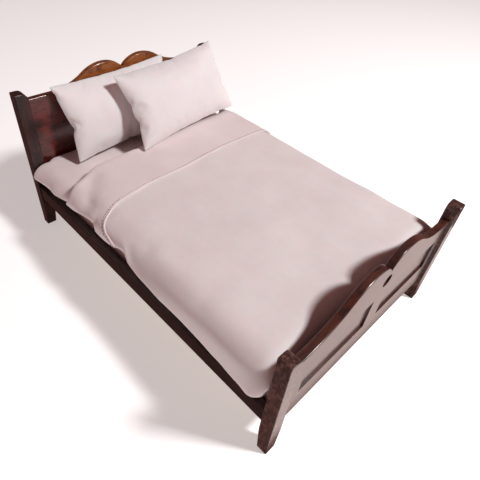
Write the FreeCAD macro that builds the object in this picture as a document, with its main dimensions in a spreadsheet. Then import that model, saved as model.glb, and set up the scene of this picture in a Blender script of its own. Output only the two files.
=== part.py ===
"""Miniature double bed with four short corner posts, its bedding and two pillows.

Frame: millimetres, +X towards the foot of the bed, +Y towards its right-hand side as seen from the foot,
+Z up. The origin is under the middle of the bed, on the surface that the legs stand on.
"""
import FreeCAD, Part
import math
import os
import Sketcher

DOC = FreeCAD.newDocument("miniature_bed")

# Driving dimensions in millimetres and degrees, one row of the sheet each.
DIMENSIONS = {
    # overall frame
    "bed_length": 183.0,
    "bed_width": 125.0,
    # corner posts
    "post_depth": 6.0,
    "post_width": 6.4,
    "head_post_height": 82.0,
    "foot_post_height": 64.5,
    "post_top_round": 3.4,
    "post_edge_round": 0.3,
    "leg_taper": 1.3,
    "leg_taper_height": 15.0,
    # head and foot boards
    "board_thickness": 3.4,
    "board_bottom": 17.0,
    "board_housing": 1.5,
    "board_edge_round": 0.45,
    "headboard_setback": 2.6,
    "headboard_shoulder": 77.4,
    "headboard_crest": 86.6,
    "headboard_valley": 81.4,
    "headboard_crest_offset": 12.0,
    "headboard_sweep_end": 42.0,
    "headboard_dome_radius": 22.0,
    "footboard_setback": 1.6,
    "footboard_shoulder": 56.8,
    "footboard_crest": 68.8,
    "footboard_valley": 63.0,
    "footboard_crest_offset": 11.0,
    "footboard_sweep_end": 51.0,
    "footboard_dome_radius": 27.0,
    "finger_hole_diameter": 6.2,
    "finger_hole_drop": 6.0,
    # sunk panels in both boards
    "panel_inner": 4.9,
    "panel_outer": 48.6,
    "panel_depth": 0.9,
    "footboard_panel_bottom": 31.0,
    "footboard_panel_top": 48.0,
    "headboard_panel_bottom": 38.0,
    "headboard_panel_top": 66.5,
    # side rails, their dowels and the strips that carry the base
    "rail_inset": 0.5,
    "rail_thickness": 3.4,
    "rail_bottom": 19.9,
    "rail_height": 8.2,
    "rail_edge_round": 0.3,
    "dowel_diameter": 1.6,
    "dowel_length": 5.0,
    "dowel_edge_distance": 2.2,
    "ledger_size": 3.0,
    "ledger_length": 164.0,
    "base_thickness": 1.6,
    "base_length": 170.4,
    "base_side_gap": 0.2,
    # mattress and bed linen
    "bedding_gap": 0.3,
    "mattress_width": 115.2,
    "mattress_side_gap": 0.2,
    "mattress_top": 41.8,
    "mattress_corner_round": 2.5,
    "sheet_thickness": 0.5,
    "bottom_sheet_width": 124.0,
    "bottom_sheet_hem": 38.0,
    "top_sheet_hem": 41.5,
    "duvet_width": 128.0,
    "duvet_top": 47.4,
    "duvet_hem": 34.5,
    "duvet_hem_head": 41.5,
    "duvet_hem_rise_foot": 34.0,
    "duvet_hem_rise_head": 0.0,
    "duvet_edge_round": 3.2,
    "turndown_width": 128.8,
    "turndown_head": -58.5,
    "turndown_foot": -27.0,
    "turndown_hem": 41.5,
    "trim_width": 1.2,
    "trim_proud": 0.5,
    # pillows
    "pillow_thickness": 8.0,
    "pillow_edge_round": 3.7,
    "case_thickness": 0.4,
    "back_pillow_width": 66.0,
    "back_pillow_height": 40.0,
    "back_pillow_lean": 70.0,
    "back_pillow_yaw": 0.0,
    "back_pillow_roll": 1.5,
    "back_pillow_x": -78.2,
    "back_pillow_y": -8.5,
    "back_pillow_z": 62.4,
    "front_pillow_width": 71.0,
    "front_pillow_height": 40.0,
    "front_pillow_lean": 60.0,
    "front_pillow_yaw": 4.0,
    "front_pillow_roll": 2.2,
    "front_pillow_x": -66.1,
    "front_pillow_y": 21.9,
    "front_pillow_z": 67.2,
}

SIDES = {"left": -1, "right": 1}


def fill_sheet():
    """Put every driving dimension in the sheet, each under its own alias."""
    sheet = DOC.addObject("Spreadsheet::Sheet", "dimensions")
    for row, (name, value) in enumerate(DIMENSIONS.items(), start=1):
        sheet.set(f"A{row}", name)
        sheet.set(f"B{row}", str(value))
        sheet.setAlias(f"B{row}", name)
    DOC.recompute()
    return sheet


SHEET = fill_sheet()


class Size:
    """A length or angle: its value now, and the expression that binds it to the sheet."""

    def __init__(self, value, text):
        self.value = value
        self.text = text

    def combine(self, other, sign, value):
        other_text = other.text if isinstance(other, Size) else str(other)
        return Size(value, f"({self.text} {sign} {other_text})")

    def __add__(self, other):
        return self.combine(other, "+", self.value + number(other))

    def __sub__(self, other):
        return self.combine(other, "-", self.value - number(other))

    def __mul__(self, other):
        return self.combine(other, "*", self.value * number(other))

    def __truediv__(self, other):
        return self.combine(other, "/", self.value / number(other))

    def __neg__(self):
        return self * -1


def number(item):
    return item.value if isinstance(item, Size) else item


def dim(name):
    """The named cell of the sheet as a Size."""
    return Size(float(SHEET.get(name)), f"<<{SHEET.Label}>>.{name}")


ZERO = Size(0.0, "0")


# ---------------------------------------------------------------- helpers for bodies and sketches

def new_body(label):
    body = DOC.addObject("PartDesign::Body", label)
    body.Label = label
    return body


def origin_plane(body, role):
    return next(item for item in body.Origin.OriginFeatures if item.Role == role)


def new_sketch(body, name, role, offset=ZERO):
    """A sketch on one of the body's origin planes, moved along that plane's normal by offset."""
    sketch = body.newObject("Sketcher::SketchObject", name)
    sketch.AttachmentSupport = [(origin_plane(body, role), "")]
    sketch.MapMode = "FlatFace"
    sketch.AttachmentOffset.Base.z = offset.value
    sketch.setExpression("AttachmentOffset.Base.z", offset.text)
    return sketch


def bind(sketch, kind, places, size):
    """Add a dimension that can be negative along X or Y, and bind it to the sheet."""
    index = sketch.addConstraint(Sketcher.Constraint(kind, *places, size.value))
    sketch.setExpression(f"Constraints[{index}]", size.text)


def fix_point(sketch, curve, end, point):
    """Hold one end of a curve at point, measured from the sketch's origin."""
    bind(sketch, "DistanceX", (-1, 1, curve, end), point[0])
    bind(sketch, "DistanceY", (-1, 1, curve, end), point[1])


def draw_outline(sketch, corners, bends=None):
    """Draw a closed outline through corners. bends maps a side's number to its radius and which way it bows.

    The way is +1 for a side that bows to the right of its own direction and -1 for one that bows to the left.
    """
    bends = bends or {}
    count = len(corners)
    first = sketch.GeometryCount
    for side in range(count):
        start = FreeCAD.Vector(corners[side][0].value, corners[side][1].value, 0)
        after = corners[(side + 1) % count]
        stop = FreeCAD.Vector(after[0].value, after[1].value, 0)
        if side in bends:
            sketch.addGeometry(bowed_arc(start, stop, *bends[side]))
        else:
            sketch.addGeometry(Part.LineSegment(start, stop))
    for side in range(count):
        join_outline(sketch, first, count, side, corners, bends)


def bowed_arc(start, stop, radius, way):
    """The short arc of a radius from start to stop, bowed to one side of the straight line between them."""
    along = stop - start
    half = along.Length / 2
    sagitta = radius.value - math.sqrt(radius.value ** 2 - half ** 2)
    right = FreeCAD.Vector(along.y, -along.x, 0).normalize()
    return Part.Arc(start, (start + stop) * 0.5 + right * (sagitta * way), stop)


def join_outline(sketch, first, count, side, corners, bends):
    """Join one side to the next, place its start, and set its radius if it is an arc."""
    here = first + side
    following = first + (side + 1) % count
    sketch.addConstraint(Sketcher.Constraint("Coincident", here, end_of(side, bends), following,
                                             start_of((side + 1) % count, bends)))
    fix_point(sketch, here, start_of(side, bends), corners[side])
    if side in bends:
        bind(sketch, "Radius", (here,), bends[side][0])


def start_of(side, bends):
    """Which end of the stored curve is the side's start: an arc is always stored anticlockwise."""
    return 2 if side in bends and bends[side][1] < 0 else 1


def end_of(side, bends):
    return 3 - start_of(side, bends)


def rectangle(low_x, low_y, high_x, high_y):
    return [(low_x, low_y), (high_x, low_y), (high_x, high_y), (low_x, high_y)]


def pad(body, sketch, length, name="Pad"):
    feature = body.newObject("PartDesign::Pad", name)
    feature.Profile = sketch
    feature.Length = length.value
    feature.setExpression("Length", length.text)
    return feature


def pocket(body, sketch, length, away=False, name="Pocket"):
    """Cut a sketch into the body against the sketch's normal, or along it when away is true."""
    DOC.recompute()
    before = body.Shape.Volume
    feature = body.newObject("PartDesign::Pocket", name)
    feature.Profile = sketch
    feature.Length = length.value
    feature.setExpression("Length", length.text)
    feature.Reversed = away
    DOC.recompute()
    if body.Shape.Volume >= before:
        raise RuntimeError(f"{feature.Name} of {body.Label} cuts nothing")
    return feature


def round_edges(body, radius, wanted, name="Fillet"):
    """Round the edges of the body's latest shape that wanted() picks."""
    DOC.recompute()
    base = body.Tip
    names = [f"Edge{i}" for i, edge in enumerate(base.Shape.Edges, start=1) if wanted(edge)]
    feature = body.newObject("PartDesign::Fillet", name)
    feature.Base = (base, names)
    feature.Radius = radius.value
    feature.setExpression("Radius", radius.text)
    DOC.recompute()
    return feature


# ---------------------------------------------------------------- lengths that several pieces share

HALF_LENGTH = dim("bed_length") / 2
HALF_WIDTH = dim("bed_width") / 2
POST_FACE = HALF_LENGTH - dim("post_depth")
POST_SIDE = HALF_WIDTH - dim("post_width")
BOARD = dim("board_thickness")
HEADBOARD_FRONT = -(POST_FACE + dim("headboard_setback"))
HEADBOARD_BACK = HEADBOARD_FRONT - BOARD
FOOTBOARD_FRONT = HALF_LENGTH - dim("footboard_setback")
FOOTBOARD_BACK = FOOTBOARD_FRONT - BOARD
RAIL_OUTSIDE = HALF_WIDTH - dim("rail_inset")
RAIL_INSIDE = RAIL_OUTSIDE - dim("rail_thickness")
RAIL_TOP = dim("rail_bottom") + dim("rail_height")
DOWEL_LINE = (RAIL_OUTSIDE + RAIL_INSIDE) / 2
DOWEL_HEIGHTS = (dim("rail_bottom") + dim("dowel_edge_distance"), RAIL_TOP - dim("dowel_edge_distance"))
DOWEL_RADIUS = dim("dowel_diameter") / 2
BASE_TOP = dim("rail_bottom") + dim("ledger_size") + dim("base_thickness")


# ---------------------------------------------------------------- wooden frame

def make_post(label, end, side, height, board_low, shoulder):
    """One corner post. end is +1 at the foot and -1 at the head; side is +1 on the right.

    Its top is rounded towards the board, its leg tapers on both inner sides, and its inner side is housed
    for the board's end.
    """
    body = new_body(label)
    outer = HALF_WIDTH * side
    inner = POST_SIDE * side
    inner_face = POST_FACE * end
    back = -HALF_LENGTH if end < 0 else POST_FACE
    profile = new_sketch(body, f"{label}_profile", "YZ_Plane", back)
    draw_outline(profile, [
        (outer, ZERO),
        (outer, height),
        ((POST_SIDE + dim("post_top_round")) * side, height),
        (inner, height - dim("post_top_round")),
        (inner, ZERO),
    ], {2: (dim("post_top_round"), side)})
    pad(body, profile, dim("post_depth"))
    round_edges(body, dim("post_edge_round"), is_post_arris)

    across = new_sketch(body, f"{label}_taper_across", "YZ_Plane", HALF_LENGTH)
    draw_outline(across, leg_wedge(inner, (POST_SIDE + dim("leg_taper")) * side))
    pocket(body, across, dim("bed_length"), name="TaperAcross")
    along = new_sketch(body, f"{label}_taper_along", "XZ_Plane", HALF_WIDTH)
    draw_outline(along, leg_wedge(inner_face, (POST_FACE + dim("leg_taper")) * end))
    pocket(body, along, dim("bed_width"), name="TaperAlong")

    housing = new_sketch(body, f"{label}_housing", "XZ_Plane", -inner)
    draw_outline(housing, rectangle(board_low, dim("board_bottom"), board_low + BOARD, shoulder))
    pocket(body, housing, dim("board_housing"), away=side < 0, name="BoardHousing")

    sockets = new_sketch(body, f"{label}_sockets", "YZ_Plane", inner_face)
    draw_dowel_circles(sockets, side)
    pocket(body, sockets, dim("dowel_length") / 2, away=end > 0, name="DowelSockets")
    return body


def leg_wedge(straight, tapered):
    """The wedge cut off one side of a leg, from its straight face to where that face meets the floor."""
    return [(straight, ZERO), (tapered, ZERO), (straight, dim("leg_taper_height"))]


def is_post_arris(edge):
    """The long edges of a post and the edges around its top, but not those around its foot."""
    return edge.BoundBox.ZMax > 1.0


def draw_dowel_circles(sketch, side):
    for height in DOWEL_HEIGHTS:
        centre = FreeCAD.Vector(DOWEL_LINE.value * side, height.value, 0)
        index = sketch.addGeometry(Part.Circle(centre, FreeCAD.Vector(0, 0, 1), DOWEL_RADIUS.value))
        bind(sketch, "Radius", (index,), DOWEL_RADIUS)
        fix_point(sketch, index, 3, (DOWEL_LINE * side, height))


def make_board(label, prefix, back):
    """A head or foot board: a double hump with a sharp valley, a finger hole and two sunk panels.

    Its ends are housed in the posts, so it is wider than the space between them.
    """
    body = new_body(label)
    half = POST_SIDE + dim("board_housing")
    shoulder = dim(f"{prefix}_shoulder")
    crest = dim(f"{prefix}_crest")
    valley = dim(f"{prefix}_valley")
    offset = dim(f"{prefix}_crest_offset")
    sweep = dim(f"{prefix}_sweep_end")
    dome = dim(f"{prefix}_dome_radius")

    # The hump's outer dome and the cove that carries it down to the shoulder are two tangent arcs.
    run = sweep - offset
    rise = crest - shoulder
    both = (run * run + rise * rise) / (rise * 2)
    cove = both - dome
    turn_y = offset + run * dome / both
    turn_z = crest - rise * dome / both
    # The dome's inner side falls to the valley on an arc that is level at the crest.
    drop = crest - valley
    inner_dome = (offset * offset + drop * drop) / (drop * 2)

    corners = [
        (half, dim("board_bottom")),
        (half, shoulder),
        (sweep, shoulder),
        (turn_y, turn_z),
        (offset, crest),
        (ZERO, valley),
        (-offset, crest),
        (-turn_y, turn_z),
        (-sweep, shoulder),
        (-half, shoulder),
        (-half, dim("board_bottom")),
    ]
    bends = {
        2: (cove, -1),
        3: (dome, 1),
        4: (inner_dome, 1),
        5: (inner_dome, 1),
        6: (dome, 1),
        7: (cove, -1),
    }
    outline = new_sketch(body, f"{label}_outline", "YZ_Plane", back)
    draw_outline(outline, corners, bends)
    pad(body, outline, BOARD)

    top_between_posts = POST_SIDE.value - 0.01

    def is_top_edge(edge):
        middle = edge.CenterOfMass
        level = edge.BoundBox.ZMin > shoulder.value - 0.01
        return level and abs(middle.y) < top_between_posts and edge.BoundBox.XLength < 0.01

    round_edges(body, dim("board_edge_round"), is_top_edge)

    front = back + BOARD
    panels = new_sketch(body, f"{label}_panels", "YZ_Plane", front)
    for side in SIDES.values():
        near = dim("panel_inner") * side
        far = dim("panel_outer") * side
        low, high = (near, far) if side > 0 else (far, near)
        draw_outline(panels, rectangle(low, dim(f"{prefix}_panel_bottom"), high, dim(f"{prefix}_panel_top")))
    pocket(body, panels, dim("panel_depth"), name="SunkPanels")

    hole = new_sketch(body, f"{label}_hole", "YZ_Plane", front)
    centre = FreeCAD.Vector(0, (valley - dim("finger_hole_drop")).value, 0)
    radius = dim("finger_hole_diameter") / 2
    index = hole.addGeometry(Part.Circle(centre, FreeCAD.Vector(0, 0, 1), radius.value))
    bind(hole, "Radius", (index,), radius)
    fix_point(hole, index, 3, (ZERO, valley - dim("finger_hole_drop")))
    pocket(body, hole, BOARD, name="FingerHole")
    return body


def make_rail(label, side):
    """A side rail: a plain lath between the posts, bored at each end for two dowels."""
    body = new_body(label)
    low, high = (RAIL_INSIDE, RAIL_OUTSIDE) if side > 0 else (-RAIL_OUTSIDE, -RAIL_INSIDE)
    section = new_sketch(body, f"{label}_section", "YZ_Plane", -POST_FACE)
    draw_outline(section, rectangle(low, dim("rail_bottom"), high, RAIL_TOP))
    pad(body, section, POST_FACE * 2)
    round_edges(body, dim("rail_edge_round"), lambda edge: edge.BoundBox.XLength > 1.0)
    for end in (-1, 1):
        sockets = new_sketch(body, f"{label}_sockets_{'foot' if end > 0 else 'head'}", "YZ_Plane",
                             POST_FACE * end)
        draw_dowel_circles(sockets, side)
        pocket(body, sockets, dim("dowel_length") / 2, away=end < 0, name="DowelSockets")
    return body


def make_box(label, corner, size):
    """A Part box with every size and its place bound to the sheet."""
    box = DOC.addObject("Part::Box", label)
    box.Label = label
    for name, length in zip(("Length", "Width", "Height"), size):
        setattr(box, name, length.value)
        box.setExpression(name, length.text)
    box.Placement.Base = FreeCAD.Vector(*[place.value for place in corner])
    for axis, place in zip("xyz", corner):
        box.setExpression(f"Placement.Base.{axis}", place.text)
    return box


def make_dowels(label, end):
    """The four dowels that pin both rails to the posts at one end of the bed."""
    pins = []
    for side in SIDES.values():
        for height in DOWEL_HEIGHTS:
            pin = DOC.addObject("Part::Cylinder", f"{label}_pin")
            pin.Radius = DOWEL_RADIUS.value
            pin.setExpression("Radius", DOWEL_RADIUS.text)
            pin.Height = dim("dowel_length").value
            pin.setExpression("Height", dim("dowel_length").text)
            start = POST_FACE * end - dim("dowel_length") / 2
            along_x = FreeCAD.Rotation(FreeCAD.Vector(0, 1, 0), 90)
            pin.Placement = FreeCAD.Placement(FreeCAD.Vector(0, 0, 0), along_x)
            for axis, place in zip("xyz", (start, DOWEL_LINE * side, height)):
                pin.setExpression(f"Placement.Base.{axis}", place.text)
            pins.append(pin)
    group = DOC.addObject("Part::Compound", label)
    group.Label = label
    group.Links = pins
    return group


def make_ledger(label, side):
    """The strip glued inside a rail that the base board rests on."""
    size = dim("ledger_size")
    near = RAIL_INSIDE - size if side > 0 else -RAIL_INSIDE
    corner = (-(dim("ledger_length") / 2), near, dim("rail_bottom"))
    return make_box(label, corner, (dim("ledger_length"), size, size))


def make_base(label):
    half_width = RAIL_INSIDE - dim("base_side_gap")
    corner = (-(dim("base_length") / 2), -half_width, BASE_TOP - dim("base_thickness"))
    return make_box(label, corner, (dim("base_length"), half_width * 2, dim("base_thickness")))


# ---------------------------------------------------------------- bedding

def make_mattress(label):
    half_length = POST_FACE - dim("bedding_gap") * 2
    half_width = dim("mattress_width") / 2
    bottom = BASE_TOP + dim("bedding_gap") / 2
    block = make_box(f"{label}_block", (-half_length, -half_width, bottom),
                     (half_length * 2, dim("mattress_width"), dim("mattress_top") - bottom))
    return round_box(label, block, dim("mattress_corner_round"), lambda edge: edge.BoundBox.ZLength > 1.0)


def round_box(label, solid, radius, wanted):
    """A Part fillet of one radius on the edges of solid that wanted() picks."""
    DOC.recompute()
    rounded = DOC.addObject("Part::Fillet", label)
    rounded.Label = label
    rounded.Base = solid
    rounded.Edges = [(i, radius.value, radius.value)
                     for i, edge in enumerate(solid.Shape.Edges, start=1) if wanted(edge)]
    DOC.recompute()
    return rounded


def cover_outline(outside, inside, hem, under, top):
    """The section of a cover that lies on a flat top at height under and hangs down both sides to its hem."""
    return [
        (-outside, hem),
        (-inside, hem),
        (-inside, under),
        (inside, under),
        (inside, hem),
        (outside, hem),
        (outside, top),
        (-outside, top),
    ]


def make_cover(label, start, stop, outline, rounding=None):
    """A cover of one section from start to stop along the bed, with its upper long edges rounded or not."""
    body = new_body(label)
    section = new_sketch(body, f"{label}_section", "YZ_Plane", start)
    draw_outline(section, outline)
    pad(body, section, stop - start)
    if rounding:
        top = outline[-1][1].value
        round_edges(body, rounding, lambda edge: edge.BoundBox.ZMin > top - 0.01
                    and edge.BoundBox.XLength > 1.0)
    return body


BED_END = POST_FACE - dim("bedding_gap")
SHEET_CLOTH = dim("sheet_thickness")
UNDER_TOP_SHEET = dim("mattress_top") + SHEET_CLOTH
UNDER_DUVET = UNDER_TOP_SHEET + SHEET_CLOTH
BOTTOM_SHEET_HALF = dim("bottom_sheet_width") / 2
TOP_SHEET_HALF = BOTTOM_SHEET_HALF + SHEET_CLOTH
DUVET_HALF = dim("duvet_width") / 2
TURNDOWN_HALF = dim("turndown_width") / 2
TURNDOWN_TOP = dim("duvet_top") + SHEET_CLOTH
FOLD = dim("turndown_head") + SHEET_CLOTH


def make_bottom_sheet(label):
    """The bottom sheet: flat on the mattress, its sides gathered into a roll that hangs over the rails."""
    inside = dim("mattress_width") / 2 + dim("mattress_side_gap")
    outline = cover_outline(BOTTOM_SHEET_HALF, inside, dim("bottom_sheet_hem"), dim("mattress_top"),
                            UNDER_TOP_SHEET)
    return make_cover(label, -BED_END, BED_END, outline)


def make_duvet(label):
    outline = cover_outline(DUVET_HALF, TOP_SHEET_HALF, dim("duvet_hem"), UNDER_DUVET, dim("duvet_top"))
    body = make_cover(label, FOLD, BED_END, outline, dim("duvet_edge_round"))
    # Towards the head the hem climbs up the bed's side and then runs level again.
    hem = new_sketch(body, f"{label}_hem", "XZ_Plane", DUVET_HALF)
    draw_outline(hem, [
        (FOLD, dim("duvet_hem")),
        (dim("duvet_hem_rise_foot"), dim("duvet_hem")),
        (dim("duvet_hem_rise_head"), dim("duvet_hem_head")),
        (FOLD, dim("duvet_hem_head")),
    ])
    pocket(body, hem, dim("duvet_width"), name="RaisedHem")
    return body


def make_top_sheet(label):
    """The top sheet: it lies under the duvet, folds over the duvet's head end and covers it as a band."""
    body = new_body(label)
    under = new_sketch(body, f"{label}_under", "YZ_Plane", dim("turndown_head"))
    draw_outline(under, cover_outline(TOP_SHEET_HALF, BOTTOM_SHEET_HALF, dim("top_sheet_hem"),
                                      UNDER_TOP_SHEET, UNDER_DUVET))
    pad(body, under, BED_END - dim("turndown_head"), name="UnderLayer")
    fold = new_sketch(body, f"{label}_fold", "YZ_Plane", dim("turndown_head"))
    draw_outline(fold, cover_outline(TURNDOWN_HALF, BOTTOM_SHEET_HALF, dim("turndown_hem"),
                                     UNDER_TOP_SHEET, TURNDOWN_TOP))
    pad(body, fold, SHEET_CLOTH, name="Fold")
    band = new_sketch(body, f"{label}_band", "YZ_Plane", dim("turndown_head"))
    draw_outline(band, cover_outline(TURNDOWN_HALF, DUVET_HALF, dim("turndown_hem"),
                                     dim("duvet_top"), TURNDOWN_TOP))
    pad(body, band, dim("turndown_foot") - dim("turndown_head"), name="Band")
    return body


def make_trim(label):
    """The narrow trimming along the band's free edge, over the top and down both sides."""
    outside = TURNDOWN_HALF + dim("trim_proud")
    outline = cover_outline(outside, DUVET_HALF, dim("turndown_hem"), dim("duvet_top"),
                            TURNDOWN_TOP + dim("trim_proud"))
    return make_cover(label, dim("turndown_foot"), dim("turndown_foot") + dim("trim_width"), outline)


# ---------------------------------------------------------------- pillows

def make_cushion(label, size, radius):
    """A rounded slab centred on the origin, standing on its long edge, its face towards +X."""
    corner = [-(length / 2) for length in size]
    block = make_box(f"{label}_block", corner, size)
    return round_box(label, block, radius, lambda edge: True)


def make_pillow(name, width, height, placement):
    """A pillow as a case, sewn shut, and the filling inside it."""
    size = (dim("pillow_thickness"), width, height)
    cloth = dim("case_thickness")
    inner_size = [length - cloth * 2 for length in size]
    outer = make_cushion(f"{name}_case_outside", size, dim("pillow_edge_round"))
    inner_round = dim("pillow_edge_round") - cloth
    inner = make_cushion(f"{name}_case_inside", inner_size, inner_round)
    case = DOC.addObject("Part::Cut", f"{name}_case")
    case.Base = outer
    case.Tool = inner
    filling = make_cushion(f"{name}_filling", inner_size, inner_round)
    for piece, label in ((case, f"{name}_case"), (filling, f"{name}_filling")):
        piece.Label = label
        place_pillow(piece, placement)
    return case, filling


def place_pillow(piece, placement):
    """Roll a pillow in its own plane, lean it back, turn it about the vertical, and put it in its place."""
    yaw, lean, roll, centre = placement
    turned = FreeCAD.Rotation(FreeCAD.Vector(0, 0, 1), yaw.value)
    leaned = FreeCAD.Rotation(FreeCAD.Vector(0, 1, 0), lean.value - 90)
    rolled = FreeCAD.Rotation(FreeCAD.Vector(1, 0, 0), roll.value)
    piece.Placement = FreeCAD.Placement(FreeCAD.Vector(0, 0, 0), turned * leaned * rolled)
    for axis, place in zip("xyz", centre):
        piece.setExpression(f"Placement.Base.{axis}", place.text)


# ---------------------------------------------------------------- the whole bed

def build():
    """Every sub-part of the bed, in the order it is put together."""
    parts = []
    ends = {
        "head": (-1, dim("head_post_height"), HEADBOARD_BACK, dim("headboard_shoulder")),
        "foot": (1, dim("foot_post_height"), FOOTBOARD_BACK, dim("footboard_shoulder")),
    }
    for end_name, (end, height, board_low, shoulder) in ends.items():
        for side_name, side in SIDES.items():
            label = f"{end_name}_post_{side_name}"
            parts.append(make_post(label, end, side, height, board_low, shoulder))
    parts.append(make_board("headboard", "headboard", HEADBOARD_BACK))
    parts.append(make_board("footboard", "footboard", FOOTBOARD_BACK))
    for side_name, side in SIDES.items():
        parts.append(make_rail(f"side_rail_{side_name}", side))
        parts.append(make_ledger(f"ledger_strip_{side_name}", side))
    parts.append(make_dowels("rail_dowels_head", -1))
    parts.append(make_dowels("rail_dowels_foot", 1))
    parts.append(make_base("base_board"))

    parts.append(make_mattress("mattress"))
    parts.append(make_bottom_sheet("bottom_sheet"))
    parts.append(make_top_sheet("top_sheet"))
    parts.append(make_duvet("duvet"))
    parts.append(make_trim("turndown_trim"))

    for name in ("back_pillow", "front_pillow"):
        turns = [dim(f"{name}_{turn}") for turn in ("yaw", "lean", "roll")]
        centre = [dim(f"{name}_{axis}") for axis in "xyz"]
        parts.extend(make_pillow(name, dim(f"{name}_width"), dim(f"{name}_height"), (*turns, centre)))
    return parts


def check(parts):
    """Stop on a failed object or a bad shape anywhere in the document."""
    for item in DOC.Objects:
        if "Invalid" in item.State or "Error" in item.State:
            raise RuntimeError(f"{item.Label} failed: {item.State}")
    for part in parts:
        if part.Shape.isNull() or not part.Shape.isValid():
            raise RuntimeError(f"{part.Label} has no valid shape")


def write(parts):
    os.makedirs("parts", exist_ok=True)
    for part in parts:
        part.Shape.exportStep(os.path.join("parts", f"{part.Label}.step"))
        box = part.Shape.BoundBox
        print(f"{part.Label}: {part.Shape.Volume:.1f} mm3, X {box.XMin:.2f}..{box.XMax:.2f} "
              f"Y {box.YMin:.2f}..{box.YMax:.2f} Z {box.ZMin:.2f}..{box.ZMax:.2f}")


PARTS = build()
DOC.recompute()
check(PARTS)
write(PARTS)
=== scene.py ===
import math

import bpy
import numpy as np
from mathutils import Matrix, Vector, noise


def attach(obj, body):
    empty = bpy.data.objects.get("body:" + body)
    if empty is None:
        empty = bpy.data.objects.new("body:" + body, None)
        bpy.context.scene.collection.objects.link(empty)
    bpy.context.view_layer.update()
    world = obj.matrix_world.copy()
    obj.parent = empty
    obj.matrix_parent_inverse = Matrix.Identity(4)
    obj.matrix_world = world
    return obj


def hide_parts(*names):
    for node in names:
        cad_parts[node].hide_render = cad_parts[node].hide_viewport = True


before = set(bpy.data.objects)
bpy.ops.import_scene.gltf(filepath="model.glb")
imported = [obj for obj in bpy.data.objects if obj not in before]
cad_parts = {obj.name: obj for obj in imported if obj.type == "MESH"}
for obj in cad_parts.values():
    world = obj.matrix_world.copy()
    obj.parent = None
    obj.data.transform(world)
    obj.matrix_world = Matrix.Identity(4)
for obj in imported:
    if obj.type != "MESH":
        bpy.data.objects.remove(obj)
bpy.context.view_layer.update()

MM = 0.001

# Cloth is simulated at this many times its real size, where Blender's cloth is well behaved.
SIM_SCALE = 10.0

HEAD = -88.1              # front of the headboard
SHEET_TOP = 42.3
COVER_CROWN = 49.0
SHEET_THICKNESS = 0.35


# ---------------------------------------------------------------- meshes

def new_object(name, points, faces, uv=None, smooth=True):
    """A mesh object from points in millimetres. uv holds one pair for each point."""
    mesh = bpy.data.meshes.new(name)
    mesh.from_pydata((np.asarray(points, float) * MM).tolist(), [], faces)
    if uv is not None:
        layer = mesh.uv_layers.new(name="flat")
        for loop in mesh.loops:
            layer.data[loop.index].uv = uv[loop.vertex_index]
    mesh.polygons.foreach_set("use_smooth", [smooth] * len(mesh.polygons))
    mesh.update()
    obj = bpy.data.objects.new(name, mesh)
    bpy.context.scene.collection.objects.link(obj)
    return obj


def grid_faces(rows, columns, flip=False):
    faces = []
    for i in range(rows - 1):
        for j in range(columns - 1):
            a = i * columns + j
            quad = [a, a + columns, a + columns + 1, a + 1]
            faces.append(quad[::-1] if flip else quad)
    return faces


def grid_object(name, grid, uv=None, flip=False):
    """A sheet from a rows x columns x 3 array, facing up where rows run along +X and columns along +Y."""
    rows, columns = grid.shape[:2]
    flat = None if uv is None else (uv.reshape(-1, 2) * MM).tolist()
    return new_object(name, grid.reshape(-1, 3), grid_faces(rows, columns, flip), flat)


def grid_normals(grid):
    """Unit normals of a grid, upwards on a level sheet."""
    along = np.gradient(grid, axis=0)
    across = np.gradient(grid, axis=1)
    normal = np.cross(along, across)
    return normal / np.linalg.norm(normal, axis=2, keepdims=True)


def ramp(x, start, stop):
    """0 before start, 1 after stop, smooth between."""
    t = np.clip((np.asarray(x, float) - start) / (stop - start), 0, 1)
    return t * t * (3 - 2 * t)


def node_box(node):
    """Lowest and highest corner of a CAD node, in millimetres."""
    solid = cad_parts[node]
    points = np.array([solid.matrix_world @ vertex.co for vertex in solid.data.vertices]) / MM
    return points.min(axis=0), points.max(axis=0)


def add_solidify(obj, thickness, offset=-1.0):
    modifier = obj.modifiers.new("thickness", "SOLIDIFY")
    modifier.thickness = thickness * MM
    modifier.offset = offset
    modifier.use_even_offset = False
    modifier.use_quality_normals = True


def add_subdivision(obj, levels=1):
    modifier = obj.modifiers.new("smooth", "SUBSURF")
    modifier.levels = levels
    modifier.render_levels = levels


# ---------------------------------------------------------------- cloth simulation

def add_cloth(obj, stiffness, bending, pressure=0.0, shrink=0.0, gravity=1.0, mass=0.3):
    modifier = obj.modifiers.new("cloth", "CLOTH")
    settings = modifier.settings
    settings.quality = 5
    settings.mass = mass
    settings.air_damping = 1.5
    settings.tension_stiffness = stiffness
    settings.compression_stiffness = stiffness
    settings.shear_stiffness = stiffness * 0.4
    settings.bending_stiffness = bending
    settings.tension_damping = 8.0
    settings.compression_damping = 8.0
    settings.shear_damping = 8.0
    settings.bending_damping = 1.0
    settings.shrink_min = shrink
    settings.effector_weights.gravity = gravity
    if pressure:
        settings.use_pressure = True
        settings.uniform_pressure_force = pressure
    modifier.collision_settings.distance_min = 0.004
    modifier.collision_settings.use_self_collision = False
    return modifier


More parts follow.
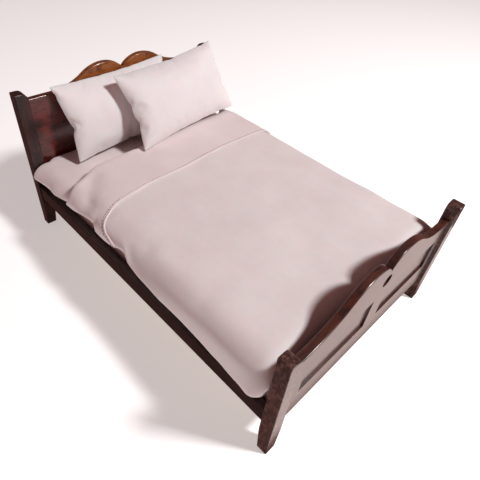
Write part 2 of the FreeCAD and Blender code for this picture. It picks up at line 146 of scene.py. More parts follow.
def simulate(points, faces, frames, colliders=(), **cloth):
    """Points after some frames of cloth simulation, all at SIM_SCALE times their real size."""
    obj = new_object("cloth_work", np.asarray(points) * SIM_SCALE, faces)
    solids = []
    for solid_points, solid_faces in colliders:
        solid = new_object("cloth_solid", np.asarray(solid_points) * SIM_SCALE, solid_faces)
        solid.modifiers.new("collision", "COLLISION")
        solid.collision.thickness_outer = 0.004
        solid.collision.cloth_friction = 12.0
        solids.append(solid)
    modifier = add_cloth(obj, **cloth)
    modifier.point_cache.frame_start = 1
    modifier.point_cache.frame_end = frames
    scene = bpy.context.scene
    for number in range(1, frames + 1):
        scene.frame_set(number)
    result = obj.evaluated_get(bpy.context.evaluated_depsgraph_get())
    after = np.array([v.co for v in result.data.vertices]) / (MM * SIM_SCALE)
    for item in [obj, *solids]:
        mesh = item.data
        bpy.data.objects.remove(item)
        bpy.data.meshes.remove(mesh)
    scene.frame_set(1)
    return after


def rounded_section(radius, steps=5):
    """A section with a flat top and rounded shoulders, as points (y, z) from left bottom to right bottom."""
    def section(half, top, bottom):
        angles = [math.pi / 2 * k / steps for k in range(steps + 1)]
        left = [(-half + radius * (1 - math.cos(a)), top - radius * (1 - math.sin(a))) for a in angles]
        right = [(-y, z) for y, z in reversed(left)]
        return [(-half, bottom), *left, (-half / 2, top), (0, top), (half / 2, top), *right, (half, bottom)]
    return section


def soft_block(stations, section):
    """Points and faces of a long block. A station is (x, half width, top, bottom)."""
    points = []
    for x, half, top, bottom in stations:
        points += [(x, y, z) for y, z in section(half, top, bottom)]
    width = len(points) // len(stations)
    faces = []
    for i in range(len(stations) - 1):
        for j in range(width):
            k = (j + 1) % width
            faces.append([i * width + j, (i + 1) * width + j, (i + 1) * width + k, i * width + k])
    faces.append(list(range(width)))
    faces.append([(len(stations) - 1) * width + j for j in range(width)][::-1])
    return points, faces


def rounded_ends(start, stop, half, top, bottom, radius, steps=4):
    """Stations of a block whose two end edges are rounded too."""
    angles = [math.pi / 2 * k / steps for k in range(steps + 1)]
    head = [(start + radius * (1 - math.sin(a)), half, top - radius * (1 - math.cos(a)), bottom)
            for a in reversed(angles)]
    foot = [(stop - radius * (1 - math.sin(a)), half, top - radius * (1 - math.cos(a)), bottom)
            for a in angles]
    return head + foot


# ---------------------------------------------------------------- the cover: duvet, turned-down sheet, trim

# Half of the cover's width at a place along the bed, measured on the flat cloth from the middle to the hem.
LEFT_HEM = [(-66, 69.6), (-50, 69.4), (-43.2, 68.8), (-33.4, 66.8), (-24.9, 64.9), (-23.7, 67.7),
            (-21.6, 69.3), (-15.5, 68.7), (-8.7, 67.4), (-4.9, 65.8), (-0.6, 64.8), (4.5, 67.7),
            (11.6, 69.9), (18.7, 70.9), (25.5, 72.1), (38.6, 72.9), (51, 74.3), (58, 75.2),
            (71.3, 75.4), (77.6, 74.6), (81, 73.0), (84.5, 69.0)]
RIGHT_HEM = [(-66, 69.6), (-40, 69.0), (0, 70.5), (30, 72.5), (58, 74.6), (74, 75.0), (81, 73.0),
             (84.5, 69.0)]
# Places along the bed where the cloth turns back at the head and where the turned-down band ends.
# Each goes with a distance across the cloth from the middle, negative on the left.
FOLD = [(-68, -49.5), (-62.3, -46.8), (-54.1, -48.6), (-48, -52), (-41.7, -54.6), (-20, -56), (0, -58),
        (30, -60), (46, -62), (56, -66), (68, -66)]
TRIM = [(-68, -6.5), (-65.7, -9.6), (-64.7, -14), (-62.7, -16.8), (-60.1, -18.7), (-57.3, -20.1),
        (-53.1, -22.2), (-48.2, -23.9), (-42, -24.8), (-35.6, -25.7), (-29.1, -26.4), (-10, -26.5),
        (5, -27.6), (21.3, -29.1), (44.6, -28), (60, -26.8), (68, -26.5)]
# Soft hollows: two ends as places along and across the flat cloth, then width and depth.
HOLLOWS = [((-49, -49), (-35, -60), 5.0, 1.5),
           ((-35, -60), (-21, -56.5), 4.0, 1.1),
           ((-12, -58), (8, -56), 4.5, 1.2),
           ((20, -63), (44, -58), 6.0, 0.8),
           ((30, 20), (62, -12), 14.0, 0.7),
           ((-10, 40), (30, 52), 10.0, 0.6),
           ((-54, -12.5), (-51, -11.5), 4.0, 1.3)]    # under the front pillow's corner
FOOT_EDGE = 82.0          # where the cover bends down behind the footboard
FOOT_DROP = 11.0
FOOT_CLEARANCE = 0.35     # left between the cover and the wood at the foot
FOOT_SOFTNESS = 0.4       # how gently the cover turns up against that wood
HEAD_CLEARANCE = 0.6      # left between the bottom sheet and the head posts
TABLE_HALF = 68.0         # how far FOLD and TRIM reach on each side of the middle
DUVET_THICKNESS = 1.8
BAND_PROUD = 0.55         # how far the turned-down band stands off the duvet
LAYER_GAP = 4.6           # from the duvet's face to the sheet under it
SIDE_GAP_LESS = 2.4       # how much smaller that gap is at the sides
BAND_ROWS = 17
STITCH_PITCH = 1.5
COVER_ROWS = 76
COVER_COLUMNS = 67


def on_line(table, place):
    return float(np.interp(place, [p[0] for p in table], [p[1] for p in table]))


def flat_cover():
    """The cover as cut: rows from the fold to the foot, columns from the left hem to the right one."""
    across = np.linspace(-1, 1, COVER_COLUMNS)
    flat = np.zeros((COVER_ROWS, COVER_COLUMNS, 2))
    for j, v in enumerate(across):
        hem = LEFT_HEM if v < 0 else RIGHT_HEM
        s = v * TABLE_HALF
        start, trim = on_line(FOLD, s), on_line(TRIM, s)
        corner = float(ramp(abs(v), 0.78, 1.0))
        stop = FOOT_EDGE + FOOT_DROP * (1 - corner) + 2.5 * corner
        x = np.concatenate([np.linspace(start, trim, BAND_ROWS),
                            np.linspace(trim, stop, COVER_ROWS - BAND_ROWS + 1)[1:]])
        flat[:, j, 0] = x
        flat[:, j, 1] = v * np.interp(x, [p[0] for p in hem], [p[1] for p in hem])
    return flat


def drape_cover(flat):
    """The cover settled over the mattress."""
    stations = rounded_ends(-62.0, FOOT_EDGE + 1.5, half=62.2, top=COVER_CROWN, bottom=30.0, radius=5.5)
    solid = soft_block(stations, rounded_section(8.5, steps=9))
    start = np.dstack([flat, np.full(flat.shape[:2], COVER_CROWN + 0.6)])
    for i in range(flat.shape[0]):
        for j in range(flat.shape[1]):
            x, y = flat[i, j]
            start[i, j, 2] += 0.25 * noise.noise(Vector((x * 0.05, y * 0.05, 3.0)))
    after = simulate(start.reshape(-1, 3), grid_faces(*flat.shape[:2]), frames=38, colliders=[solid],
                     stiffness=18.0, bending=6.0)
    return after.reshape(*flat.shape[:2], 3)


def beside_post(y, inside, room):
    """1 in front of a post and outside it, 0 in the middle of the bed. room is one column of cloth."""
    return ramp(np.abs(y), inside - 2 * room, inside - room)


def fit_foot(grid):
    """Press the cover's foot end against the footboard and the fronts of its posts, so it stops there."""
    board_front = node_box("footboard")[0][0]
    post_front, inside, _ = node_box("foot_post_right")[0]
    share = beside_post(grid[:, :, 1], inside, 2.2)
    limit = board_front + (post_front - board_front) * share - FOOT_CLEARANCE
    grid[:, :, 0] = -FOOT_SOFTNESS * np.logaddexp(-grid[:, :, 0] / FOOT_SOFTNESS, -limit / FOOT_SOFTNESS)
    return grid


def roll_under(grid, flat, inward, down, steps=4):
    """Carry both side hems of a draped grid round underneath, with the flat cloth made wider to match."""
    left, right, flat_left, flat_right = [], [], [], []
    for step in range(1, steps + 1):
        angle = math.pi / 2 * step / steps
        move = np.array([0.0, inward * (1 - math.cos(angle)), -down * math.sin(angle)])
        arc = math.hypot(inward, down) * step / steps
        left.insert(0, grid[:, 0] + move)
        right.append(grid[:, -1] + move * (1, -1, 1))
        flat_left.insert(0, flat[:, 0] - (0, arc))
        flat_right.append(flat[:, -1] + (0, arc))
    return (np.concatenate([np.stack(left, 1), grid, np.stack(right, 1)], axis=1),
            np.concatenate([np.stack(flat_left, 1), flat, np.stack(flat_right, 1)], axis=1))


def smooth_grid(grid, times, weight=0.5):
    """Relax a grid's inner points towards their neighbours, leaving its outline alone."""
    for _ in range(times):
        mean = (grid[:-2, 1:-1] + grid[2:, 1:-1] + grid[1:-1, :-2] + grid[1:-1, 2:]) / 4
        grid[1:-1, 1:-1] += weight * (mean - grid[1:-1, 1:-1])
    return grid


def hollow(flat, first, last, width, depth):
    """How far a soft hollow between two places sinks each point of the flat cloth."""
    first, last = np.array(first, float), np.array(last, float)
    span = last - first
    share = np.clip(((flat - first) @ span) / (span @ span), 0, 1)
    away = np.linalg.norm(flat - (first + share[..., None] * span), axis=2)
    return depth * np.exp(-(away / width) ** 2)


def puff(grid, flat):
    """The duvet's own loft: slow swells all over, and soft hollows where it has been pressed."""
    normal = grid_normals(grid)
    swell = np.zeros(grid.shape[:2])
    for i in range(grid.shape[0]):
        for j in range(grid.shape[1]):
            x, y, z = grid[i, j]
            swell[i, j] = 0.55 * noise.noise(Vector((x * 0.03, y * 0.03, 7.7)))
            swell[i, j] += 0.22 * noise.noise(Vector((x * 0.09, y * 0.09, 1.3)))
    for place in HOLLOWS:
        swell -= hollow(flat, *place)
    return grid + normal * swell[..., None]


def make_duvet(grid, flat):
    duvet = grid_object("duvet_cloth", *roll_under(grid[2:], flat[2:], inward=3.6, down=2.4))
    add_solidify(duvet, DUVET_THICKNESS)
    add_subdivision(duvet)
    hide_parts("duvet")
    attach(duvet, "bedding")
    return duvet


def make_top_sheet(grid, flat):
    """The top sheet in one piece: band on the duvet, roll at the fold, and layer under the duvet."""
    normal = grid_normals(grid)
    side = ramp(np.abs(grid[:, :, 1]), 58, 63)
    band = grid[BAND_ROWS - 1::-1] + normal[BAND_ROWS - 1::-1] * BAND_PROUD
    gap = LAYER_GAP - SIDE_GAP_LESS * side[0]
    roll = []
    for step in range(1, 6):
        angle = math.pi * step / 6
        inward = (gap * 0.5 * (1 - math.cos(angle)))[:, None] * -normal[0]
        out = np.zeros_like(grid[0])
        out[:, 0] = -gap * 0.5 * math.sin(angle)
        roll.append(grid[0] + normal[0] * BAND_PROUD + inward + out)
    under = grid - normal * (LAYER_GAP - SIDE_GAP_LESS * side)[:, :, None]
    under[:, :, 2] = np.maximum(under[:, :, 2], SHEET_TOP + 0.35 - 8.0 * side)
    rows = np.concatenate([band, np.array(roll), under[:70]])
    uv = np.zeros((*rows.shape[:2], 2))
    uv[:, :, 1] = flat[0, :, 1]
    lengths = np.linalg.norm(np.diff(rows, axis=0), axis=2)
    uv[1:, :, 0] = np.cumsum(lengths, axis=0)
    sheet = grid_object("top_sheet_cloth", rows, uv, flip=True)
    add_solidify(sheet, SHEET_THICKNESS)
    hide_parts("top_sheet")
    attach(sheet, "bedding")
    return sheet, band


def add_tube(points, faces, path, inward, up, half_width, half_height, sides=8):
    """Add a closed tube of oval section along a path. The half sizes hold one number for each place on it."""
    first = len(points)
    for k in range(len(path)):
        for a in range(sides):
            angle = 2 * math.pi * a / sides
            points.append(path[k] + inward[k] * half_width[k] * math.cos(angle)
                          + up[k] * half_height[k] * math.sin(angle))
    for k in range(len(path) - 1):
        for a in range(sides):
            b = (a + 1) % sides
            near, far = first + k * sides, first + (k + 1) * sides
            faces.append([near + a, near + b, far + b, far + a])
    faces.append([first + a for a in range(sides)])
    faces.append([first + (len(path) - 1) * sides + a for a in reversed(range(sides))])


def make_trim(band):
    """The hem of the band: a rolled edge, and a row of stitches along its side towards the head."""
    line, behind = band[0], band[1]
    length = np.concatenate([[0], np.cumsum(np.linalg.norm(np.diff(line, axis=0), axis=1))])
    place = np.arange(0.3, length[-1] - 0.3, 0.3)
    path = np.stack([np.interp(place, length, line[:, k]) for k in range(3)], axis=1)
    inward = np.stack([np.interp(place, length, behind[:, k]) for k in range(3)], axis=1) - path
    tangent = np.gradient(path, axis=0)
    tangent /= np.linalg.norm(tangent, axis=1)[:, None]
    inward -= (inward * tangent).sum(1)[:, None] * tangent
    inward /= np.linalg.norm(inward, axis=1)[:, None]
    up = np.cross(tangent, inward)
    up *= np.sign(up[len(up) // 2, 2])
    points, faces = [], []
    beat = 1.0 + 0.09 * np.cos(place * 2 * math.pi / STITCH_PITCH)
    add_tube(points, faces, path + up * 0.06, inward, up, 0.52 * beat, 0.34 * beat)
    rolled = len(faces)
    seam = path + inward * 1.2 + up * 0.2
    for start in np.arange(0.6, place[-1] - 1.2, STITCH_PITCH):
        held = np.where((place >= start) & (place <= start + STITCH_PITCH * 0.62))[0]
        if len(held) > 2:
            taper = np.sin(np.linspace(0.25, math.pi - 0.25, len(held)))
            add_tube(points, faces, seam[held], inward[held], up[held],
                     0.23 * taper, 0.17 * taper, sides=6)
    trim = new_object("turndown_hem", points, faces)
    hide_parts("turndown_trim")
    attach(trim, "bedding")
    return trim, rolled


# ---------------------------------------------------------------- bottom sheet and mattress

def fit_head(grid):
    """Squeeze the sheet's head end to the front of the head posts where it would run into them."""
    lowest, highest = node_box("head_post_right")
    inside, post_front = lowest[1], highest[0]
    start, stop = HEAD + 0.5, HEAD + 8.0
    squeezed = stop - (stop - grid[:, :, 0]) * (stop - post_front - HEAD_CLEARANCE) / (stop - start)
    share = beside_post(grid[:, :, 1], inside, 2.5) * (grid[:, :, 0] < stop)
    grid[:, :, 0] += share * (squeezed - grid[:, :, 0])
    return grid


def make_bottom_sheet():
    rows, columns = 62, 55
    flat = np.zeros((rows, columns, 2))
    for i, x in enumerate(np.linspace(-88.0, 84.0, rows)):
        half = 65.8 - 3.6 * float(ramp(x, -66, -48))
        flat[i, :, 0] = x
        flat[i, :, 1] = np.linspace(-half, half, columns)
    ends = rounded_ends(-90.0, 84.0, half=61.9, top=SHEET_TOP - 0.5, bottom=30.0, radius=3.0)
    first = [(x + 2.0, half, top, bottom) for x, half, top, bottom in ends[:5]]
    last = [(x, half - 3.0, top, bottom) for x, half, top, bottom in ends[5:]]
    middle = [(-64.0, 61.9, SHEET_TOP - 0.5, 30.0), (-50.0, 58.9, SHEET_TOP - 0.5, 30.0)]
    solid = soft_block(first + middle + last, rounded_section(6.5))
    start = np.dstack([flat, np.full(flat.shape[:2], SHEET_TOP + 0.5)])
    after = simulate(start.reshape(-1, 3), grid_faces(rows, columns), frames=28, colliders=[solid],
                     stiffness=15.0, bending=1.5).reshape(rows, columns, 3)
    corner = (1 - ramp(after[:, :, 0], -87.5, -72.0)) * ramp(np.abs(after[:, :, 1]), 55.0, 63.0)
    after[:, :, 1] += np.sign(after[:, :, 1]) * 1.6 * corner
    after[:, :, 0] = np.maximum(after[:, :, 0], HEAD + 0.5)
    after, flat = roll_under(after, flat, inward=3.8, down=2.6)
    after = fit_head(after)
    sheet = grid_object("bottom_sheet_cloth", after, flat)
    add_solidify(sheet, SHEET_THICKNESS)
    add_subdivision(sheet)
    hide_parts("bottom_sheet")
    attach(sheet, "bedding")
    return sheet


def make_mattress():
    """The mattress: it fills the space between the rails and swells a little above them."""
    stations = rounded_ends(-84.6, 84.6, half=57.4, top=SHEET_TOP - 1.0, bottom=24.8, radius=2.4)
    points, faces = soft_block(stations, rounded_section(3.0))
    pad = new_object("mattress_pad", points, faces)
    bevel = pad.modifiers.new("edge", "BEVEL")
    bevel.width = 0.6 * MM
    bevel.segments = 2
    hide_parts("mattress")
    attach(pad, "bedding")
    return pad


# ---------------------------------------------------------------- pillows

# How much of its flat outline a filled pillow keeps, across and up: its sides pull in the most.
PILLOW_EDGE_KEPT = (0.1, 0.6)
FRONT_SWELL = 1.5         # a leaning pillow is fuller on its free side
CUT_LARGER = (1.05, 1.06)  # an empty case against the filled pillow, across and up
DENT_DEPTH = 1.3


def pillow_points(width, height, columns, rows):
    """Two layers of cloth sewn together round their edge. Thickness is along X."""
    index = {}
    points = []
    for layer in (0, 1):
        for i in range(rows):
            for j in range(columns):
                edge = i in (0, rows - 1) or j in (0, columns - 1)
                if layer and edge:
                    index[layer, i, j] = index[0, i, j]
                    continue
                a, b = 2 * j / (columns - 1) - 1, 2 * i / (rows - 1) - 1
                loft = 0.9 * (1 - a ** 6) * (1 - b ** 6)
                loft += 0.10 * noise.noise(Vector((a * 5, b * 3, 4.0 + layer)))
                index[layer, i, j] = len(points)
                points.append([(-loft if layer else loft) * (not edge), a * width / 2, b * height / 2])
    faces = []
    for layer in (0, 1):
        for i in range(rows - 1):
            for j in range(columns - 1):
                ring = ((i, j), (i, j + 1), (i + 1, j + 1), (i + 1, j))
                quad = [index[layer, row, column] for row, column in ring]
                faces.append(quad[::-1] if layer else quad)
    corners = [index[0, i, j] for i in (0, rows - 1) for j in (0, columns - 1)]
    return np.array(points), faces, corners


def turn(yaw, lean, roll):
    """The rotation that rolls a pillow in its plane, leans it back and turns it about the vertical."""
    return (Matrix.Rotation(math.radians(yaw), 3, "Z")
            @ Matrix.Rotation(math.radians(lean - 90), 3, "Y")
            @ Matrix.Rotation(math.radians(roll), 3, "X"))


def make_pillow(name, body, nodes, width, height, thickness, place, angles, seed):
    columns, rows = 57, 33
    points, faces, corners = pillow_points(width * CUT_LARGER[0], height * CUT_LARGER[1], columns, rows)
    rng = np.random.default_rng(seed)
    points[:, 0] += rng.uniform(-0.03, 0.03, len(points))
    after = simulate(points, faces, frames=30, stiffness=14.0, bending=0.6, pressure=6.0,
                     gravity=0.0, mass=0.25)
    after -= after.mean(axis=0)
    reach = np.abs(after[corners]).mean(axis=0)
    after[:, 1] *= width / 2 / reach[1]
    after[:, 2] *= height / 2 / reach[2]
    after[:, 0] *= thickness / (after[:, 0].max() - after[:, 0].min())
    after[:, 0] *= np.where(after[:, 0] > 0, FRONT_SWELL, 1.0)
    cut = points[:, 1:3] * (width / np.ptp(points[corners, 1]), height / np.ptp(points[corners, 2]))
    after[:, 1:3] += PILLOW_EDGE_KEPT * (cut - after[:, 1:3])
    for k, (x, y, z) in enumerate(after):
        inside = (1 - min(1.0, abs(2 * y / width)) ** 4) * (1 - min(1.0, abs(2 * z / height)) ** 4)
        dent = noise.noise(Vector((y * 0.045, z * 0.06, seed)))
        dent += 0.4 * noise.noise(Vector((y * 0.12, z * 0.12, seed)))
        after[k, 0] += DENT_DEPTH * dent * inside
    rotation = np.array(turn(*angles))
    placed = after @ rotation.T + np.array(place)
    uv = (points[:, 1:3] * MM).tolist()
    pillow = new_object(name, placed, faces, uv)
    add_subdivision(pillow)
    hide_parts(*nodes)
    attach(pillow, body)
    return pillow


# ---------------------------------------------------------------- materials

def new_material(name):
    material = bpy.data.materials.new(name)
    material.use_nodes = True
    tree = material.node_tree
    return material, tree, tree.nodes["Principled BSDF"]


def add_node(tree, kind, **values):
    node = tree.nodes.new(kind)
    for key, value in values.items():
        if key in node.inputs:
            node.inputs[key].default_value = value
        else:
            setattr(node, key, value)
    return node


def colour_ramp(tree, factor, stops):
    node = tree.nodes.new("ShaderNodeValToRGB")
    elements = node.color_ramp.elements
    while len(elements) < len(stops):
        elements.new(0.5)
    for element, (position, colour) in zip(elements, stops):
        element.position = position
        element.color = (*colour, 1)
    tree.links.new(factor, node.inputs["Fac"])
    return node.outputs["Color"]


def wood(name, grain, stops, figure=1.0, coat=1.0, roughness=0.38, figure_and_light_above=None):
    """Stained wood under lacquer. grain is how much the figure is stretched along X, Y and Z.

    The last argument holds a height in millimetres and the colours from there up: a paler, more orange stain
    that is partly the wood's mottled figure and partly painted light, leaving the part below darker as
    painted shade.
    """
    material, tree, shader = new_material(name)
    link = tree.links.new
    place = add_node(tree, "ShaderNodeTexCoord")
    mapping = add_node(tree, "ShaderNodeMapping")
    mapping.inputs["Scale"].default_value = [1000.0 / g for g in grain]
    link(place.outputs["Object"], mapping.inputs["Vector"])
    streaks = add_node(tree, "ShaderNodeTexNoise", Scale=1.6, Detail=7.0, Roughness=0.62,
                       Distortion=0.6 * figure)
    mottle = add_node(tree, "ShaderNodeTexNoise", Scale=130.0, Detail=4.0, Roughness=0.55, Distortion=1.2)
    pores = add_node(tree, "ShaderNodeTexNoise", Scale=9.0, Detail=3.0, Roughness=0.7)
    link(mapping.outputs["Vector"], streaks.inputs["Vector"])
    link(place.outputs["Object"], mottle.inputs["Vector"])
    link(mapping.outputs["Vector"], pores.inputs["Vector"])
    mixed = add_node(tree, "ShaderNodeMath", operation="MULTIPLY_ADD")
    mixed.inputs[1].default_value = 0.45 * figure
    link(mottle.outputs["Fac"], mixed.inputs[0])
    link(streaks.outputs["Fac"], mixed.inputs[2])
    stain = colour_ramp(tree, mixed.outputs["Value"], stops)
    # From the given height up the stain turns paler and more orange: partly the wood's figure, partly painted
    # light on the upper part, with painted shade below.
    if figure_and_light_above:
        height, paler_and_lit = figure_and_light_above
        parts = add_node(tree, "ShaderNodeSeparateXYZ")
        link(place.outputs["Object"], parts.inputs["Vector"])
        share = add_node(tree, "ShaderNodeMapRange", interpolation_type="SMOOTHSTEP")
        share.inputs["From Min"].default_value = (height - 3) * MM
        share.inputs["From Max"].default_value = (height + 3) * MM
        link(parts.outputs["Z"], share.inputs["Value"])
        blend = add_node(tree, "ShaderNodeMix", data_type="RGBA")
        link(share.outputs["Result"], blend.inputs[0])
        link(stain, blend.inputs[6])
        link(colour_ramp(tree, mixed.outputs["Value"], paler_and_lit), blend.inputs[7])
        stain = blend.outputs[2]
    link(stain, shader.inputs["Base Color"])
    rough = add_node(tree, "ShaderNodeMapRange")
    rough.inputs["To Min"].default_value = roughness - 0.08
    rough.inputs["To Max"].default_value = roughness + 0.14
    link(pores.outputs["Fac"], rough.inputs["Value"])
    link(rough.outputs["Result"], shader.inputs["Roughness"])
    bump = add_node(tree, "ShaderNodeBump", Strength=0.35, Distance=0.00012)
    link(pores.outputs["Fac"], bump.inputs["Height"])
    link(bump.outputs["Normal"], shader.inputs["Normal"])
    ripple = add_node(tree, "ShaderNodeBump", Strength=0.22, Distance=0.0001)
    link(streaks.outputs["Fac"], ripple.inputs["Height"])
    link(ripple.outputs["Normal"], shader.inputs["Coat Normal"])
    shader.inputs["Coat Weight"].default_value = coat
    shader.inputs["Coat Roughness"].default_value = 0.19
    shader.inputs["Coat IOR"].default_value = 1.6
    return material


def cotton(name, low, high, thread=0.32, glow=0.25):
    """Plain woven cotton: two sets of threads, soft sheen, and light that travels a little way through it."""
    material, tree, shader = new_material(name)
    link = tree.links.new
    place = add_node(tree, "ShaderNodeTexCoord")
    warp = add_node(tree, "ShaderNodeTexWave", wave_type="BANDS", bands_direction="X", Distortion=0.6,
                    Detail=1.0, Scale=20.0 / thread)
    weft = add_node(tree, "ShaderNodeTexWave", wave_type="BANDS", bands_direction="Y", Distortion=0.6,
                    Detail=1.0, Scale=20.0 / thread)
    weft.inputs["Detail Scale"].default_value = 2.0
    link(place.outputs["UV"], warp.inputs["Vector"])
    link(place.outputs["UV"], weft.inputs["Vector"])
    weave = add_node(tree, "ShaderNodeMath", operation="MULTIPLY")
    link(warp.outputs["Fac"], weave.inputs[0])
    link(weft.outputs["Fac"], weave.inputs[1])
    tone = add_node(tree, "ShaderNodeTexNoise", Scale=60.0, Detail=3.0, Roughness=0.5)
    slub = add_node(tree, "ShaderNodeTexNoise", Scale=900.0, Detail=2.0, Roughness=0.6)
    link(place.outputs["Object"], tone.inputs["Vector"])
    link(place.outputs["Object"], slub.inputs["Vector"])
    link(colour_ramp(tree, tone.outputs["Fac"], [(0.3, low), (0.7, high)]), shader.inputs["Base Color"])
    height = add_node(tree, "ShaderNodeMath", operation="ADD")
    link(weave.outputs["Value"], height.inputs[0])
    link(slub.outputs["Fac"], height.inputs[1])
    bump = add_node(tree, "ShaderNodeBump", Strength=0.5, Distance=0.00006)
    link(height.outputs["Value"], bump.inputs["Height"])
    link(bump.outputs["Normal"], shader.inputs["Normal"])
    rough = add_node(tree, "ShaderNodeMapRange")
    rough.inputs["To Min"].default_value = 0.78
    rough.inputs["To Max"].default_value = 0.95
    link(slub.outputs["Fac"], rough.inputs["Value"])
    link(rough.outputs["Result"], shader.inputs["Roughness"])
    shader.inputs["Sheen Weight"].default_value = 0.25
    shader.inputs["Sheen Roughness"].default_value = 0.5
    shader.inputs["Specular IOR Level"].default_value = 0.2
    if glow:
        shader.inputs["Subsurface Weight"].default_value = glow
        shader.inputs["Subsurface Radius"].default_value = (1.0, 0.22, 0.16)
        shader.inputs["Subsurface Scale"].default_value = 0.005
    return material


def dress(obj, material):
    obj.data.materials.clear()
    obj.data.materials.append(material)


# Near-black stops for the rails and head posts: the dark mahogany darkened further as painted shade.
MAHOGANY_DARKENED_AS_SHADE = [(0.35, (0.003, 0.001, 0.001)), (0.66, (0.010, 0.003, 0.002)), (0.92, (0.05, 0.010, 0.005))]
DARK = [(0.35, (0.004, 0.0012, 0.001)), (0.62, (0.020, 0.0045, 0.003)), (0.88, (0.09, 0.020, 0.010))]
DEEP = [(0.40, (0.006, 0.001, 0.001)), (0.62, (0.030, 0.004, 0.003)), (0.86, (0.12, 0.012, 0.008))]
# Stops for the foot posts: the wood's figure, with pale grey-brown flecks painted in as glints.
FIGURE_AND_PAINTED_GLINTS = [(0.42, (0.005, 0.0015, 0.0012)), (0.62, (0.028, 0.008, 0.006)), (0.84, (0.17, 0.075, 0.055))]
# Paler orange-brown stops for the headboard's upper part: partly its mottled figure, partly painted light.
UPPER_FIGURE_AND_PAINTED_LIGHT = [(0.46, (0.020, 0.004, 0.0015)), (0.62, (0.09, 0.020, 0.005)), (0.84, (0.34, 0.105, 0.022))]
BARE = [(0.30, (0.30, 0.17, 0.085)), (0.70, (0.48, 0.31, 0.17))]


def dress_wood():
    # The foot posts' pale flecks are painted glints over the wood's figure.
    upright = wood("post_wood", (1.6, 1.6, 3.2), FIGURE_AND_PAINTED_GLINTS, figure=0.8)
    # The rails and head posts are darkened to near black as painted shade.
    lengthwise = wood("rail_wood", (18.0, 3.0, 3.0), MAHOGANY_DARKENED_AS_SHADE, coat=0.35, roughness=0.5)
    head_upright = wood("head_post_wood", (3.0, 3.0, 14.0), MAHOGANY_DARKENED_AS_SHADE, coat=0.5, roughness=0.45)
    # The headboard is paler from 79 mm up: partly its figure on the humps, partly painted light above the
    # pillows, with painted shade on the part below.
    crosswise = wood("board_wood", (3.0, 16.0, 3.5), DEEP, figure=1.3, figure_and_light_above=(79.0, UPPER_FIGURE_AND_PAINTED_LIGHT))
    foot = wood("footboard_wood", (3.0, 16.0, 3.5), DARK, figure=1.1)
    bare = wood("bare_wood", (16.0, 3.0, 3.0), BARE, figure=0.4, coat=0.0, roughness=0.6)
    for node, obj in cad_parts.items():
        if "head_post" in node:
            dress(obj, head_upright)
        elif "post" in node:
            dress(obj, upright)
        elif node == "headboard":
            dress(obj, crosswise)
        elif node == "footboard":
            dress(obj, foot)
        elif "side_rail" in node:
            dress(obj, lengthwise)
        elif "ledger" in node or "dowels" in node or node == "base_board":
            dress(obj, bare)


# ---------------------------------------------------------------- floor, light and camera

def make_floor():
    floor = new_object("floor", [(-3000, -3000, 0), (3000, -3000, 0), (3000, 3000, 0), (-3000, 3000, 0)],
                       [[0, 1, 2, 3]])
    material, _, shader = new_material("floor_paper")
    shader.inputs["Base Color"].default_value = (0.93, 0.93, 0.93, 1)
    shader.inputs["Roughness"].default_value = 0.9
    shader.inputs["Specular IOR Level"].default_value = 0.0
    shader.inputs["Emission Color"].default_value = (1, 1, 1, 1)
    shader.inputs["Emission Strength"].default_value = 0.42
    dress(floor, material)
    floor.visible_glossy = False


def make_backdrop():
    """A plain pale surround that is seen behind the floor's edge and takes no part in the lighting."""
    bpy.ops.mesh.primitive_uv_sphere_add(segments=48, ring_count=24, radius=6.0)
    backdrop = bpy.context.object
    backdrop.name = "backdrop"
    material, _, shader = new_material("backdrop_paper")
    shader.inputs["Base Color"].default_value = (0, 0, 0, 1)
    shader.inputs["Specular IOR Level"].default_value = 0.0
    shader.inputs["Emission Color"].default_value = (1, 1, 1, 1)
    shader.inputs["Emission Strength"].default_value = 0.96
    dress(backdrop, material)
    for ray in ("diffuse", "glossy", "transmission", "volume_scatter", "shadow"):
        setattr(backdrop, f"visible_{ray}", False)


# A low pale card beyond the foot, which shows only in the lacquer of the footboard.
GLARE_CARD = (170, 240)
GLARE_PLACE = (179, 14, 0.6)


def area_light(name, direction, distance, size, power, colour=(1, 1, 1)):
    """A square light at a distance from the bed, in millimetres, that faces it."""
    data = bpy.data.lights.new(name, "AREA")
    data.shape = "SQUARE"
    data.size = size * MM
    data.energy = power
    data.color = colour
    light = bpy.data.objects.new(name, data)
    toward = Vector(direction).normalized()
    light.location = (toward * distance + Vector((0, 0, 40))) * MM
    light.rotation_mode = "QUATERNION"
    light.rotation_quaternion = (-toward).to_track_quat("-Z", "Y")
    bpy.context.scene.collection.objects.link(light)
    return light


def make_lights():
    area_light("fill", (-2, -10, 3), 700, 500, 0.3, (1.0, 0.88, 0.86))
    area_light("key", (16, 8, 21), 900, 110, 7.0)
    glare = area_light("glare", (0, 0, 1), 1, 10, 0.096, (1.0, 0.86, 0.82))
    glare.data.shape = "RECTANGLE"
    glare.data.size = GLARE_CARD[0] * MM
    glare.data.size_y = GLARE_CARD[1] * MM
    glare.location = Vector(GLARE_PLACE) * MM
    glare.rotation_quaternion = Vector((0, 0, 1)).to_track_quat("-Z", "Y")
    glare.visible_camera = False
    glare.visible_diffuse = False
    world = bpy.data.worlds.new("studio")
    world.use_nodes = True
    background = world.node_tree.nodes["Background"]
    background.inputs["Color"].default_value = (1.0, 0.44, 0.39, 1)
    background.inputs["Strength"].default_value = 0.14
    bpy.context.scene.world = world


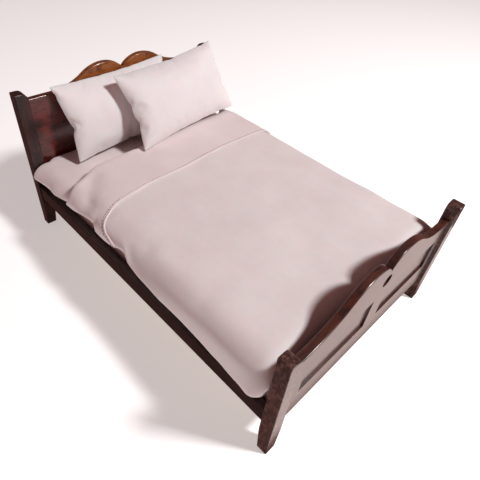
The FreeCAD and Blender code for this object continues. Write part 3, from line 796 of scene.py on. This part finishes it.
def make_camera():
    data = bpy.data.cameras.new("camera")
    data.lens = 32.69
    data.sensor_width = 36.0
    data.shift_x = 0.0141
    data.shift_y = -0.0309
    data.clip_start = 0.005
    data.clip_end = 50.0
    camera = bpy.data.objects.new("camera", data)
    right = Vector((0.69604, 0.71392, 0.07652))
    up = Vector((-0.51874, 0.42631, 0.74106))
    back = Vector((0.49643, -0.55550, 0.66706))
    turned = Matrix((right, up, back)).transposed().to_4x4()
    camera.matrix_world = Matrix.Translation(Vector((121.44, -129.26, 182.96)) * MM) @ turned
    bpy.context.scene.collection.objects.link(camera)
    bpy.context.scene.camera = camera


# ---------------------------------------------------------------- the whole scene

def main():
    pink = cotton("pink_cotton", (0.80, 0.70, 0.70), (0.85, 0.755, 0.755))
    pale = cotton("pale_cotton", (0.80, 0.75, 0.755), (0.84, 0.79, 0.795))
    sheeting = cotton("pink_sheeting", (0.80, 0.69, 0.69), (0.85, 0.745, 0.745), glow=0.0)
    # The hem is the sheeting turned over, made paler as a painted highlight on its raised edge.
    hem = cotton("hem_cotton_painted_highlight", (0.85, 0.75, 0.75), (0.89, 0.80, 0.80), glow=0.0)
    thread = cotton("stitch_thread", (0.27, 0.12, 0.12), (0.34, 0.17, 0.17), glow=0.0)
    # The mattress cloth's own colour is not known; it is made dark red-brown as painted shade for the strip
    # that shows under the duvet's hem.
    ticking = cotton("ticking", (0.30, 0.16, 0.15), (0.36, 0.20, 0.19), glow=0.0)

    flat = flat_cover()
    cover = fit_foot(puff(smooth_grid(drape_cover(flat), 2), flat))
    dress(make_duvet(cover, flat), pink)
    top_sheet, band = make_top_sheet(cover, flat)
    dress(top_sheet, sheeting)
    trim, rolled = make_trim(band)
    dress(trim, hem)
    trim.data.materials.append(thread)
    for face in trim.data.polygons[rolled:]:
        face.material_index = 1
    dress(make_bottom_sheet(), sheeting)
    dress(make_mattress(), ticking)
    dress(make_pillow("back_pillow_cloth", "back_pillow", ["back_pillow_case", "back_pillow_filling"],
                      width=70.0, height=41.4, thickness=10.5, place=(-78.4, -9.6, 64.4),
                      angles=(0.0, 69.0, 1.5), seed=11), pale)
    dress(make_pillow("front_pillow_cloth", "front_pillow", ["front_pillow_case", "front_pillow_filling"],
                      width=74.0, height=42.0, thickness=11.0, place=(-65.8, 21.5, 68.8),
                      angles=(4.3, 59.5, 2.4), seed=12), pale)
    dress_wood()
    make_floor()
    make_backdrop()
    make_lights()
    make_camera()
    bpy.context.scene.view_settings.view_transform = "Standard"


main()
